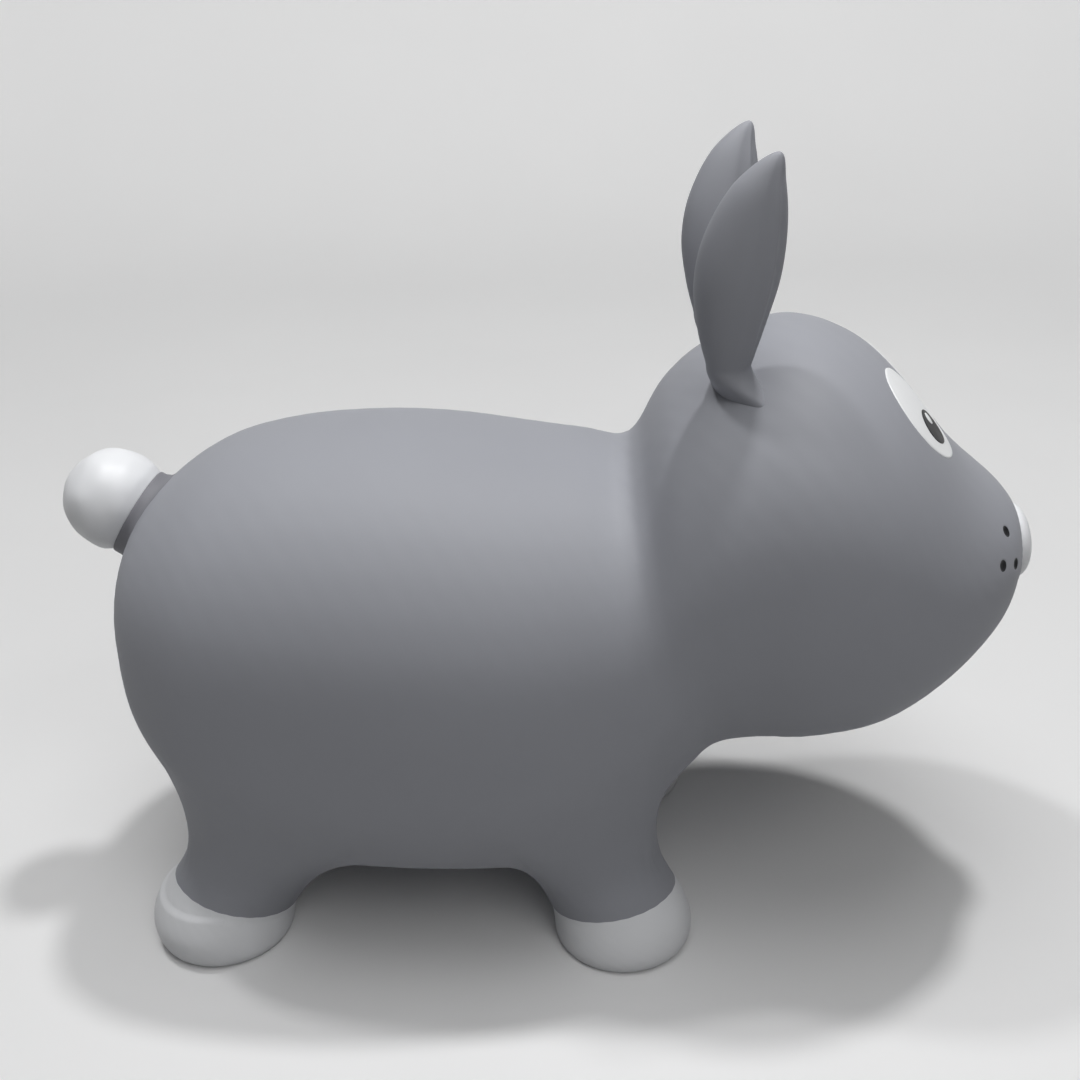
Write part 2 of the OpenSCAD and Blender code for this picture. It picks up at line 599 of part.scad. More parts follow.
// A patch that lies on the skin: place and tilt of its axes, its middle along them, radii, levels, points.
// Levels are pairs of share of the radius and lift above the skin.
function patch_spot(place, tilt, u, v) =
    let (p = skin_point(place[0], place[1]))
    let (n = skin_normal(place[0], place[1]))
    let (along = unit(skin_point(place[0] + nudge_t, place[1]) - skin_point(place[0] - nudge_t, place[1])))
    let (across = cross(n, along))
    let (e1 = along * cos(tilt) + across * sin(tilt))
    skin_place(p, e1, cross(n, e1), u, v, place[0], place[1]);
module patch(place, tilt, shift, radii, levels, points) {
    middle = patch_spot(place, tilt, shift, 0);
    closed_loft([for (level = levels)
            [for (k = [0:points - 1])
                let (u = shift + level[0] * radii[0] * cos(360 * k / points))
                let (v = level[0] * radii[1] * sin(-360 * k / points))
                let (spot = patch_spot(place, tilt, u, v))
                skin(spot[0], spot[1], level[1])]],
        skin(middle[0], middle[1], levels[0][1]), skin(middle[0], middle[1], levels[len(levels) - 1][1]));
}
// Levels of a printed layer that begins at a lift, with a softened edge
half_way = 0.5;
soft_edge = 0.96;
function print_levels(lift) = [
    [half_way, lift], [1, lift], [1, lift + print_layer / 2],
    [soft_edge, lift + print_layer], [half_way, lift + print_layer]
];
white_points = 28;
pupil_points = 24;
glint_points = 14;
// First guesses of the places: frame and angle from the top rail
eye_t = 12.6;
eye_a = 25;
dot_t = 14;
dot_a = 75;
// Flat facets of the print clear the round skin by this much
facet_lift = 0.3;
white_lift = layer_gap + facet_lift;
pupil_lift = white_lift + print_layer + layer_gap;
glint_lift = pupil_lift + print_layer + layer_gap;
function eye_place(side) = before_skin(side * eye_spread / 2, eye_height, eye_t, 90 - side * eye_a);
module eye_white(side) {
    color(white) placed()
        patch(eye_place(side), side * eye_tilt, 0, [eye_length, eye_width] / 2,
            print_levels(white_lift), white_points);
}
module pupil(side) {
    color(black) placed()
        patch(eye_place(side), side * eye_tilt, pupil_drop, [pupil_length, pupil_width] / 2,
            print_levels(pupil_lift), pupil_points);
}
module eye_glint(side) {
    color(white) placed()
        patch(eye_place(side), side * eye_tilt, pupil_drop - glint_rise, [glint_size, glint_size] / 2,
            print_levels(glint_lift), glint_points);
}
dot_points = 10;
// Levels of a dot, a low dome
DOT_LEVELS = [
    [1, layer_gap], [0.8, layer_gap + 0.7 * dot_proud], [0.4, layer_gap + dot_proud]
];
// Outward and downward steps from the upper dot to each dot of a cheek
DOT_SPOTS = [[0, 0], [dot_step, dot_drop], [dot_step - dot_gap, dot_drop + dot_sink]];
function dot_place(side, spot) =
    before_skin(side * (dot_spread / 2 + spot[0]), dot_height - spot[1], dot_t, 90 - side * dot_a);
module whisker_dots() {
    color(black) placed()
        for (side = [left, right], spot = DOT_SPOTS)
            patch(dot_place(side, spot), 0, 0, [dot_diameter, dot_diameter] / 2, DOT_LEVELS, dot_points);
}

// Air valve: a thickened rim with a true bore, and the stopper in it
rim_proud = 1;
round_facets = 64;
chamfer = 0.6;
rim_z = belly_height - rim_proud;
bore_radius = plug_diameter / 2 + plug_clearance;
module valve_seat() {
    color(grey) placed() translate([valve_x, 0, rim_z])
        rotate_extrude($fn = round_facets)
        polygon([[bore_radius, 0], [seat_diameter / 2 - chamfer, 0], [seat_diameter / 2, chamfer],
            [seat_diameter / 2, seat_depth], [bore_radius, seat_depth]]);
}
module valve_plug() {
    color(white) placed() translate([valve_x, 0, rim_z])
        rotate_extrude($fn = round_facets)
        polygon([[0, -plug_head_height], [plug_head_diameter / 2 - chamfer, -plug_head_height],
            [plug_head_diameter / 2, chamfer - plug_head_height], [plug_head_diameter / 2, 0],
            [plug_diameter / 2, 0], [plug_diameter / 2, plug_length - chamfer],
            [plug_diameter / 2 - chamfer, plug_length], [0, plug_length]]);
}

body_skin();
foot(LEGS[0]);  // front_left_foot
foot(LEGS[1]);  // front_right_foot
foot(LEGS[2]);  // rear_left_foot
foot(LEGS[3]);  // rear_right_foot
ear(left);  // left_ear
ear(right);  // right_ear
ear_root(left);  // left_ear_root
ear_root(right);  // right_ear_root
tail_collar();
tail_ball();
nose();
eye_white(left);  // left_eye_white
eye_white(right);  // right_eye_white
pupil(left);  // left_pupil
pupil(right);  // right_pupil
eye_glint(left);  // left_eye_glint
eye_glint(right);  // right_eye_glint
whisker_dots();
valve_seat();
valve_plug();
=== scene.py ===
import json
import math

import bmesh
import bpy
import numpy as np
from mathutils import Matrix, Vector
from mathutils.bvhtree import BVHTree
from mathutils.kdtree import KDTree


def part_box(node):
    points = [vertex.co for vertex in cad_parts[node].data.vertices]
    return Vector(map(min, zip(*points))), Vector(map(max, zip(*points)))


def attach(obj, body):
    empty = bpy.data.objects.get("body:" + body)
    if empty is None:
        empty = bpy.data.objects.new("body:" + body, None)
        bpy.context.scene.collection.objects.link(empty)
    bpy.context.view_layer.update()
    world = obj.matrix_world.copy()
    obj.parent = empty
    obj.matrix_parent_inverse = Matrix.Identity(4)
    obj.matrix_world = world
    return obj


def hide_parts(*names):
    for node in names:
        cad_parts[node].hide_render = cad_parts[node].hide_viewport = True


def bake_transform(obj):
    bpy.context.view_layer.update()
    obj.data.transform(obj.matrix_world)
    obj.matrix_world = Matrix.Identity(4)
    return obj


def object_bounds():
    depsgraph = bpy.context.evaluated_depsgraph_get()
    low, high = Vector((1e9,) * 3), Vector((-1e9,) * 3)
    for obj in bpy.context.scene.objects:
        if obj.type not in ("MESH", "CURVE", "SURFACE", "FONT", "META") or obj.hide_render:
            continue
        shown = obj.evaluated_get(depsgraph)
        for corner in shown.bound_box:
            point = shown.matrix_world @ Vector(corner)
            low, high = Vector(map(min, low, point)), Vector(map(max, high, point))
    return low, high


# An inflatable rabbit hopper: a smooth skin through the points of the solids, and what is set on it

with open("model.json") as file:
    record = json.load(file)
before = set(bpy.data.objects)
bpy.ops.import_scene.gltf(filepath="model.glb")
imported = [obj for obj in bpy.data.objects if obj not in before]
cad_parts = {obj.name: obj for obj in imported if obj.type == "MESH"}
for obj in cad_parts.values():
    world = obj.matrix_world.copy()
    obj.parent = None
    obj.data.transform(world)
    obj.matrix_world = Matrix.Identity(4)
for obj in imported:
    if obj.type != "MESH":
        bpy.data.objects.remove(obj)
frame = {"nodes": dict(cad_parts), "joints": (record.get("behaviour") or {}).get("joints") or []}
CAD_BOX = [list(corner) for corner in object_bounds()]
MM = 0.001
FEET = ["front_left_foot", "front_right_foot", "rear_left_foot", "rear_right_foot"]


# Meshes as arrays


def mesh_points(mesh):
    points = np.empty(len(mesh.vertices) * 3, np.float32)
    mesh.vertices.foreach_get("co", points)
    return points.reshape(-1, 3).astype(float)


def mesh_edges(mesh):
    edges = np.empty(len(mesh.edges) * 2, np.int32)
    mesh.edges.foreach_get("vertices", edges)
    return edges.reshape(-1, 2)


def merge(points, triangles, grain):
    """The mesh with the points that agree to the grain made one."""
    _, first, same = np.unique(np.round(points / grain), axis=0, return_index=True, return_inverse=True)
    return points[first], same.ravel()[triangles]


def cad_mesh(node):
    """A node's points, with equal ones merged, and its triangles."""
    mesh = frame["nodes"][node].data
    mesh.calc_loop_triangles()
    triangles = np.empty(len(mesh.loop_triangles) * 3, np.int32)
    mesh.loop_triangles.foreach_get("vertices", triangles)
    points, triangles = merge(mesh_points(mesh), triangles.reshape(-1, 3), grain=0.01 * MM)
    a, b, c = triangles.T
    return points, triangles[(a != b) & (b != c) & (c != a)]


def near(points, others, reach):
    """Which points lie within reach of any of the others."""
    tree = KDTree(len(others))
    for i, p in enumerate(others):
        tree.insert(p, i)
    tree.balance()
    return np.array([tree.find(p)[2] < reach for p in points])


def loose_sheets(points, triangles, rim):
    """The separate sheets of triangles that are left when the faces lying wholly on a rim are taken out."""
    triangles = triangles[~rim[triangles].all(1)]
    label = np.arange(len(points))
    while True:
        lowest = label[triangles].min(1)
        new = label.copy()
        for corner in range(3):
            np.minimum.at(new, triangles[:, corner], lowest)
        if (new == label).all():
            break
        label = new
    return [triangles[label[triangles[:, 0]] == k] for k in np.unique(label[triangles[:, 0]])]


def used(points, triangles):
    """Only the points that the triangles use."""
    keep = np.unique(triangles)
    place = np.full(len(points), -1)
    place[keep] = np.arange(len(keep))
    return points[keep], place[triangles]


def to_bmesh(points, faces):
    bm = bmesh.new()
    corners = [bm.verts.new(p) for p in points]
    for face in faces:
        bm.faces.new([corners[i] for i in face])
    return bm


def from_bmesh(bm):
    """The points and faces of a bmesh, which is freed."""
    bm.verts.index_update()
    result = np.array([v.co for v in bm.verts]), [tuple(v.index for v in f.verts) for f in bm.faces]
    bm.free()
    return result


def add_object(name, data):
    thing = bpy.data.objects.new(name, data)
    bpy.context.scene.collection.objects.link(thing)
    return thing


def new_piece(name, points, faces):
    """A smooth-shaded mesh object with these points and faces."""
    mesh = bpy.data.meshes.new(name)
    mesh.from_pydata([tuple(p) for p in points], [], [tuple(int(i) for i in f) for f in faces])
    mesh.validate()
    mesh.update()
    for polygon in mesh.polygons:
        polygon.use_smooth = True
    return add_object(name, mesh)


def soft_step(low, high, x):
    """0 below low, 1 above high, and a smooth rise between them."""
    t = np.clip((x - low) / (high - low), 0, 1)
    return t * t * (3 - 2 * t)


def unit_rows(vectors):
    return vectors / (np.linalg.norm(vectors, axis=1)[:, None] + 1e-12)


class Net:
    """A net of quads: what is next to each point, and which way it faces."""

    def __init__(self, faces, edges, size):
        self.quads = np.array(faces)
        self.start, self.end = np.concatenate([edges, edges[:, ::-1]]).T
        self.size = size
        self.count = np.bincount(self.start, minlength=size)

    def mean(self, values):
        """The mean of the neighbours of each point."""
        return np.bincount(self.start, values[self.end], self.size) / self.count

    def mean_place(self, points):
        return np.stack([self.mean(points[:, k]) for k in range(3)], 1)

    def spread(self, values):
        """Each point with the highest value among it and its neighbours."""
        values = values.copy()
        np.maximum.at(values, self.start, values[self.end])
        return values

    def face_normals(self, points):
        """The normal of each quad, twice as long as its area."""
        a, b, c, d = (points[self.quads[:, corner]] for corner in range(4))
        return np.cross(c - a, d - b)

    def point_normals(self, face_normals):
        normals = np.zeros((self.size, 3))
        for corner in range(4):
            np.add.at(normals, self.quads[:, corner], face_normals)
        return unit_rows(normals)

    def flatness(self, face_normals, point_normals):
        """For each point, the cosine between its normal and that of the face that departs most from it."""
        flat = np.ones(self.size)
        for corner in range(4):
            at = self.quads[:, corner]
            np.minimum.at(flat, at, (face_normals * point_normals[at]).sum(1))
        return flat


def fill_creases(points, net, weight, passes=100, slack=0.05 * MM):
    """Raises the bottom of sharp grooves, where weight is above 0, until they are soft hollows."""
    for _ in range(passes):
        normals = net.point_normals(net.face_normals(points))
        depth = ((net.mean_place(points) - points) * normals).sum(1)
        points = points + (0.5 * weight * np.clip(depth - slack, 0, None))[:, None] * normals
    return points


def iron_folds(points, net, weight, sharpest=math.radians(12), rings=3, passes=80):
    """Draws the skin tight around sharp folds: there the points go to the mean of their neighbours."""
    face_normals = unit_rows(net.face_normals(points))
    flat = net.flatness(face_normals, net.point_normals(face_normals))
    folded = (flat < math.cos(sharpest)) * (weight > 0.05) * 1.0
    for _ in range(rings):
        folded = net.spread(folded)
    for _ in range(rings):
        folded = 0.5 * (folded + net.mean(folded))
    pull = (0.5 * folded * np.minimum(1, 4 * weight))[:, None]
    for _ in range(passes):
        points = points + pull * (net.mean_place(points) - points)
    return points


# The hide: skin and feet as one smooth surface through the points of the solids, then parted at the ankles

TOUCH = 0.05 * MM
PORT_EDGE = 1 * MM
SMOOTH_LEVELS = 2
SOLE_HEIGHT = 0.5 * MM
# The outer sides of the legs: the heights over which they begin and end, and how far out they begin
LEG_START = 55 * MM, 70 * MM
LEG_END = 165 * MM, 190 * MM
LEG_OUTSIDE = 62 * MM, 78 * MM


def hide_cage():
    """Points, triangles and zone of the outer faces: zone 0 is the skin, 1 to 4 the feet."""
    skin_points, skin_triangles = cad_mesh("body_skin")
    feet = [cad_mesh(foot) for foot in FEET]
    seat_low, seat_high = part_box("valve_seat")
    middle = (np.array(seat_low) + np.array(seat_high)) / 2
    port_radius = (seat_high[0] - seat_low[0]) / 2 + PORT_EDGE
    port = np.hypot(*(skin_points[:, :2] - middle[:2]).T) < port_radius
    rim = near(skin_points, np.concatenate([points for points, _ in feet]), TOUCH) | port
    sheets = loose_sheets(skin_points, skin_triangles, rim)
    outer = max(sheets, key=lambda t: np.ptp(skin_points[t][..., 1]))
    points, triangles = used(skin_points, outer)
    all_points, all_triangles, zones = [points], [triangles], [np.zeros(len(triangles), int)]
    for k, (foot_points, foot_triangles) in enumerate(feet):
        sheets = loose_sheets(foot_points, foot_triangles, near(foot_points, skin_points, TOUCH))
        outer = min(sheets, key=lambda t: foot_points[t][..., 2].min())
        points, triangles = used(foot_points, outer)
        all_triangles.append(triangles + sum(len(p) for p in all_points))
        all_points.append(points)
        zones.append(np.full(len(triangles), k + 1))
    points, triangles = merge(np.concatenate(all_points), np.concatenate(all_triangles), grain=0.02 * MM)
    return points, triangles, np.concatenate(zones)


def hide_surface():
    """Smooth quads through the cage's points: points, faces, zones and edges."""
    points, triangles, zones = hide_cage()
    bm = to_bmesh(points, triangles)
    for face, zone in zip(bm.faces, zones):
        face.material_index = int(zone)
    bmesh.ops.join_triangles(bm, faces=bm.faces[:], cmp_materials=True, angle_face_threshold=math.radians(60),
                             angle_shape_threshold=math.radians(70))
    mesh = bpy.data.meshes.new("hide_cage")
    bm.to_mesh(mesh)
    bm.free()
    for _ in range(len(FEET) + 1):
        mesh.materials.append(None)
    cage = add_object("hide_cage", mesh)
    subdivide = cage.modifiers.new("smooth", "SUBSURF")
    subdivide.levels = subdivide.render_levels = SMOOTH_LEVELS

    def smoothed():
        return cage.evaluated_get(bpy.context.evaluated_depsgraph_get()).to_mesh()

    # Smoothing draws the surface in from the cage's points, so the cage is moved out by as much first
    goal = points
    points = points + (goal - mesh_points(smoothed())[:len(goal)])
    mesh.vertices.foreach_set("co", points.astype(np.float32).ravel())
    mesh.update()
    bpy.context.view_layer.update()
    smooth = smoothed()
    faces = [tuple(p.vertices) for p in smooth.polygons]
    zones = np.array([p.material_index for p in smooth.polygons])
    result = mesh_points(smooth), faces, zones, mesh_edges(smooth)
    bpy.data.objects.remove(cage)
    return result


def outer_legs(points):
    """1 on the outer sides of the legs, 0 elsewhere."""
    _, y, z = points.T
    return soft_step(*LEG_START, z) * (1 - soft_step(*LEG_END, z)) * soft_step(*LEG_OUTSIDE, np.abs(y))


def set_soles(points):
    """Flat soles on the floor."""
    x, y, z = points.T
    return np.stack([x, y, np.where(z < SOLE_HEIGHT, 0, z)], 1)


hide_points, hide_faces, hide_zones, hide_edges = hide_surface()
hide_net = Net(hide_faces, hide_edges, len(hide_points))
leg_weight = outer_legs(hide_points)
hide_points = fill_creases(hide_points, hide_net, leg_weight)
for _ in range(2):
    hide_points = iron_folds(hide_points, hide_net, leg_weight)
hide_points = set_soles(hide_points)


# The rear boots have a soft fold round the heel, below which they swell

BOOT_SWELL = 2.2 * MM
BOOT_FOLD = 30.0 * MM, 32.6 * MM
BOOT_FINE = 25 * MM, 37 * MM
# The swell grows from the sole up and fades out towards the toes and the upper edge
SOLE_FADE = 4 * MM, 22 * MM
TOE_FADE = -12 * MM, 22 * MM
EDGE_FADE = 0, 7 * MM


def fold_boot(points, faces):
    """A rear boot with finer faces near the fold, and the swell, which keeps the upper edge on the skin."""
    middle = (points.min(0) + points.max(0)) / 2
    bm = to_bmesh(points, faces)
    for _ in range(2):
        close = [e for e in bm.edges if all(BOOT_FINE[0] < v.co.z < BOOT_FINE[1] for v in e.verts)]
        bmesh.ops.subdivide_edges(bm, edges=close, cuts=1, use_grid_fill=True, smooth=0.0)
    rim = np.array([v.co for v in bm.verts if v.is_boundary])
    points, faces = from_bmesh(bm)
    x, _, z = points.T
    heel = 1 - soft_step(*TOE_FADE, x - middle[0])
    swell = heel * (1 - soft_step(*BOOT_FOLD, z)) * soft_step(*SOLE_FADE, z)
    swell *= soft_step(*EDGE_FADE, np.linalg.norm(points[:, None] - rim, axis=2).min(1))
    return points + BOOT_SWELL * swell[:, None] * unit_rows((points - middle) * [1, 1, 0]), faces


# Dimples for the whisker dots, pressed into the skin where the dots lie


def clusters(points, reach):
    """Groups of points in which each lies near another of its group."""
    groups = []
    for p in points:
        joined = [g for g in groups if min(np.linalg.norm(p - q) for q in g) < reach]
        apart = [g for g in groups if not any(g is j for j in joined)]
        groups = apart + [[p] + [q for g in joined for q in g]]
    return [np.array(g) for g in groups]


DOTS = [group.mean(0) for group in clusters(cad_mesh("whisker_dots")[0], reach=3 * MM)]
DOT_RADIUS = 2.9 * MM
DIMPLE_DEPTH = 1.3 * MM
DIMPLE_WALL = 0.35 * DOT_RADIUS, 1.25 * DOT_RADIUS
DIMPLE_FINE = 11 * MM, 8 * MM, 6 * MM


def press_dimples(points, faces):
    """The skin with finer faces around the dots and a small hollow at each."""
    bm = to_bmesh(points, faces)

    def to_dot(place):
        return min((place - Vector(dot)).length for dot in DOTS)

    for reach in DIMPLE_FINE:
        close = [e for e in bm.edges if to_dot(e.verts[0].co.lerp(e.verts[1].co, 0.5)) < reach]
        bmesh.ops.subdivide_edges(bm, edges=close, cuts=1, use_grid_fill=True, smooth=0.0)
    bm.normal_update()
    for vertex in bm.verts:
        hollow = 1 - soft_step(*DIMPLE_WALL, to_dot(vertex.co))
        vertex.co -= vertex.normal * DIMPLE_DEPTH * float(hollow)
    return from_bmesh(bm)


def zone_mesh(zone):
    """The points and faces of one zone of the hide."""
    chosen = [f for f, z in zip(hide_faces, hide_zones) if z == zone]
    keep = sorted({i for f in chosen for i in f})
    place = {i: k for k, i in enumerate(keep)}
    return hide_points[keep], [tuple(place[i] for i in f) for f in chosen]


def dress(piece, body, nodes):
    """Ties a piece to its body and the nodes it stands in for."""
    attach(piece, body)
    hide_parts(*nodes)
    return piece


skin_points, skin_faces = press_dimples(*zone_mesh(0))
skin = dress(new_piece("skin", skin_points, skin_faces), "body", ["body_skin"])
skin_tree = BVHTree.FromPolygons([tuple(p) for p in skin_points], skin_faces)
feet = []
for number, name in enumerate(FEET, 1):
    foot = zone_mesh(number)
    if "rear" in name:
        foot = fold_boot(*foot)
    feet.append(dress(new_piece("soft_" + name, *foot), "body", [name]))


# What is set on the skin: rings of points joined into lofts

# A ray to the skin starts this far outside the piece
RAY_START = 25 * MM


def on_skin(point, direction):
    """Where a ray meets the skin, and the skin's normal there."""
    place, normal, _, _ = skin_tree.ray_cast(Vector(point), Vector(direction))
    if place is None:
        place, normal, _, _ = skin_tree.find_nearest(Vector(point))
    return np.array(place), np.array(normal)


def circle(up, across, sides):
    """Spokes all round, the first one along up and a quarter later along across."""
    turn = 2 * np.pi * np.arange(sides)[:, None] / sides
    return np.cos(turn) * up + np.sin(turn) * across


def loft_faces(rings, sides, first_point=False, last_point=False):
    """Quads between rings of equal count, with a fan at either end to a point listed after the rings."""
    starts = [sides * ring for ring in range(rings)]
    pairs = [(k, (k + 1) % sides) for k in range(sides)]
    faces = [(s + k, s + n, s + sides + n, s + sides + k) for s in starts[:-1] for k, n in pairs]
    tip = rings * sides
    if first_point:
        faces += [(tip, n, k) for k, n in pairs]
        tip += 1
    if last_point:
        faces += [(tip, starts[-1] + k, starts[-1] + n) for k, n in pairs]
    return faces


# Ears, in millimetres: each one grows out of the head in one surface, through its root and neck to the tip

LEFT_FLEX = next(joint for joint in frame["joints"] if joint["name"] == "left_ear_flex")
EAR_NECK = np.array(LEFT_FLEX["pos_m"]) / MM
EAR_SPLAY = math.radians(8)
EAR_LENGTH = 96 / math.cos(EAR_SPLAY)
EAR_DEPTH = 41.0
# From neck to tip: the front edge's x and share of the length, the back edge's, and half the width
EAR_ROWS = np.array([[10.5, 0.00, -10.5, 0.00, 10.0],
                     [15.8, 0.20, -14.8, 0.18, 13.8],
                     [21.5, 0.44, -17.2, 0.41, 16.0],
                     [23.0, 0.67, -12.9, 0.64, 14.1],
                     [21.1, 0.87, -0.6, 0.87, 8.6],
                     [17.2, 1.00, 17.2, 1.00, 0.0]])
EAR_ROWS[:, [1, 3]] *= EAR_LENGTH
EAR_TIP = len(EAR_ROWS) - 1
# A rim and the grooves on either side of it: height, and angle from the front and spread in degrees
EAR_RELIEF = (0.9, 48, 6), (-1.0, 35, 7), (-0.8, 66, 11)
EAR_SIDES = 96
EAR_RINGS = 64
# The rings stop just short of the tip, and crowd a little towards it
EAR_END = 0.985
# The skirt in the head, from its lower edge: how far it stands out from the foot, and its height on the skin
ROOT_SKIRT = (0.2, -2.0), (0.15, -0.4)
ROOT_RINGS = 16
# The foot of the root on the head, which tapers towards its outer end
FOOT_MIDDLE = np.array([101.5, 46.0])
FOOT_DEPTH, FOOT_WIDTH, FOOT_TURN = 15.0, 40.0, math.radians(30)
FOOT_TAPER = 0.45


def ear_row(t):
    """Front x and z, back x and z and half width at height t, counted in rows, on a smooth curve."""
    before = 2 * EAR_ROWS[0] - EAR_ROWS[1]
    after = EAR_ROWS[EAR_TIP - 1][[2, 3, 0, 1, 4]] * [1, 1, 1, 1, -1]
    rows = np.vstack([before, EAR_ROWS, after])
    k = min(int(t), EAR_TIP - 1)
    a, b, c, d = rows[k:k + 4]
    u = t - k
    return 0.5 * (2 * b + (c - a) * u + (2 * a - 5 * b + 4 * c - d) * u * u
                  + (3 * b - a - 3 * c + d) * u ** 3)


def ear_ring(t, angles, side):
    """A ring of the ear: an oval with a rim down either side of the rounded front panel."""
    front_x, front_z, back_x, back_z, half = ear_row(t)
    away = np.abs((np.degrees(angles) - 90 + 180) % 360 - 180)
    relief = sum(height * np.exp(-((away - angle) / spread) ** 2) for height, angle, spread in EAR_RELIEF)
    grow = 1 + 2 * math.sin(math.pi * t / EAR_TIP) ** 0.6 * relief / EAR_DEPTH
    x = (front_x + back_x) / 2 + np.sin(angles) * (front_x - back_x) / 2 * grow
    y = half * np.cos(angles) * grow
    z = (front_z + back_z) / 2 + np.sin(angles) * (front_z - back_z) / 2 * grow
    lean_y = y * math.cos(EAR_SPLAY) + side * z * math.sin(EAR_SPLAY)
    lean_z = z * math.cos(EAR_SPLAY) - side * y * math.sin(EAR_SPLAY)
    return np.stack([x, lean_y, lean_z], 1) + EAR_NECK * [1, side, 1]


def root_rings(side, angles, neck_ring):
    """Rings from a skirt sunk in the head, up the root to the neck."""
    turned = angles - side * FOOT_TURN
    turn = np.array([math.cos(FOOT_TURN), side * math.sin(FOOT_TURN)])

    def on_head(grow, lift):
        outer = np.clip(side * np.cos(turned), 0, 1)
        short = np.sin(turned) * (FOOT_DEPTH / 2 + grow) * (1 - FOOT_TAPER * outer ** 1.5)
        long = np.cos(turned) * (FOOT_WIDTH / 2 + grow)
        ring = []
        for x, y in zip(FOOT_MIDDLE[0] + short * turn[0] + long * turn[1],
                        side * FOOT_MIDDLE[1] - short * turn[1] + long * turn[0]):
            place, normal = on_skin((x * MM, y * MM, CAD_BOX[1][2]), (0, 0, -1))
            ring.append(place / MM + normal * lift)
        return np.array(ring)

    start = on_head(0, 0.0)
    lean = neck_ring - start
    reach = np.linalg.norm(lean, axis=1)[:, None]
    rise = np.array([0, side * math.sin(EAR_SPLAY), math.cos(EAR_SPLAY)]) * reach
    rings = [on_head(grow, lift) for grow, lift in ROOT_SKIRT]
    for u in np.arange(ROOT_RINGS) / ROOT_RINGS:
        rings.append((2 * u ** 3 - 3 * u * u + 1) * start + (u ** 3 - 2 * u * u + u) * lean
                     + (3 * u * u - 2 * u ** 3) * neck_ring + (u ** 3 - u * u) * rise)
    return rings


def make_ear(which, side):
    angles = 2 * np.pi * np.arange(EAR_SIDES) / EAR_SIDES
    heights = EAR_TIP * (1 - (1 - np.linspace(0, EAR_END, EAR_RINGS)) ** 1.15)
    rings = root_rings(side, angles, ear_ring(0, angles, side)) + [ear_ring(t, angles, side) for t in heights]
    tip = ear_ring(EAR_TIP, angles, side).mean(0)
    ear = new_piece("soft_%s_ear" % which, np.vstack(rings + [tip]) * MM,
                    loft_faces(len(rings), EAR_SIDES, last_point=True))
    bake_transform(ear)
    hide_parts(which + "_ear", which + "_ear_root")
    return ear


ears = [make_ear("left", 1), make_ear("right", -1)]


# Tail: a stub coloured a darker grey as painted shade under the ball, with a small fillet on the rump, and a
# slightly lumpy ball on it

TAIL_CENTRE = np.array([-234.7, 0.0, 244.43]) * MM
TAIL_AXIS = np.array([-0.8225, 0.0, 0.5688])
TAIL_ACROSS = np.array([0.0, 1.0, 0.0])
TAIL_UP = np.cross(TAIL_AXIS, TAIL_ACROSS)
TAIL_SIDES = 96
BALL_RADIUS = 28 * MM
BALL_RINGS = 56
BALL_LUMPS = 0.6 * MM
# The ball is drawn in by the play, and where it is free of the stub it grows and has lumps
BALL_PLAY = 0.3 * MM
BALL_GROWTH = 0.4 * MM
# Where it comes free, as a share of the radius along its axis
BALL_FREE = -0.45, -0.25
# It starts at this share of the angle of the stub's edge, and ends at this angle from its pole
BALL_START = 0.985
BALL_END = 0.02
STUB_RADIUS = 25 * MM
STUB_HOLLOW = 2 * MM
STUB_TOP = TAIL_CENTRE - math.sqrt(BALL_RADIUS ** 2 - STUB_RADIUS ** 2) * TAIL_AXIS
# From the top to the fillet, in millimetres: radius, rise, and share of the way from the top to the rump
STUB_PROFILE = ((20.0, -0.4, 0), (24.6, 0.0, 0), (25.2, -0.3, 0), (25.4, -1.0, 0), (25.5, 0, 0.5),
                (25.8, 1.8, 1), (26.4, 0.9, 1), (27.3, 0.35, 1), (28.4, 0.05, 1), (29.2, -0.7, 1))


def lumps(directions, waves=26, longest=0.9, shortest=0.35, seed=11):
    """A smooth random height for each direction from the middle of a ball, about -1 to 1."""
    dice = np.random.RandomState(seed)
    height = np.zeros(len(directions))
    for _ in range(waves):
        way = dice.normal(size=3)
        way /= np.linalg.norm(way)
        length = shortest + (longest - shortest) * dice.rand()
        height += length * np.sin(2 * np.pi * (directions @ way) / length + 2 * np.pi * dice.rand())
    return height / np.abs(height).max()


def make_ball():
    """The ball, from a ring inside the stub to its far pole."""
    spokes = circle(TAIL_UP, TAIL_ACROSS, TAIL_SIDES)
    start = math.pi - math.asin(STUB_RADIUS / BALL_RADIUS) * BALL_START
    directions = np.vstack([math.cos(polar) * TAIL_AXIS + math.sin(polar) * spokes
                            for polar in np.linspace(start, BALL_END, BALL_RINGS)])
    free = soft_step(*BALL_FREE, directions @ TAIL_AXIS)
    radius = BALL_RADIUS + free * (BALL_LUMPS * lumps(directions) + BALL_GROWTH) - BALL_PLAY
    points = TAIL_CENTRE + directions * radius[:, None]
    pole = points[-TAIL_SIDES:].mean(0)
    return new_piece("soft_tail_ball", np.vstack([points, STUB_TOP, pole]),
                     loft_faces(BALL_RINGS, TAIL_SIDES, True, True))


def make_stub():
    """The stub: a flat top, a rounded edge, and a side that runs out onto the rump."""
    points = []
    for radius, rise, share in STUB_PROFILE:
        for above in STUB_TOP + radius * MM * circle(TAIL_UP, TAIL_ACROSS, TAIL_SIDES):
            if share == 0:
                points.append(above + rise * MM * TAIL_AXIS)
            else:
                foot, normal = on_skin(above + RAY_START * TAIL_AXIS, -TAIL_AXIS)
                points.append(above + (foot - above) * share + normal * rise * MM)
    points.append(STUB_TOP - STUB_HOLLOW * TAIL_AXIS)
    faces = loft_faces(len(STUB_PROFILE), TAIL_SIDES, first_point=True)
    return new_piece("soft_tail_stub", np.array(points), [f[::-1] for f in faces])


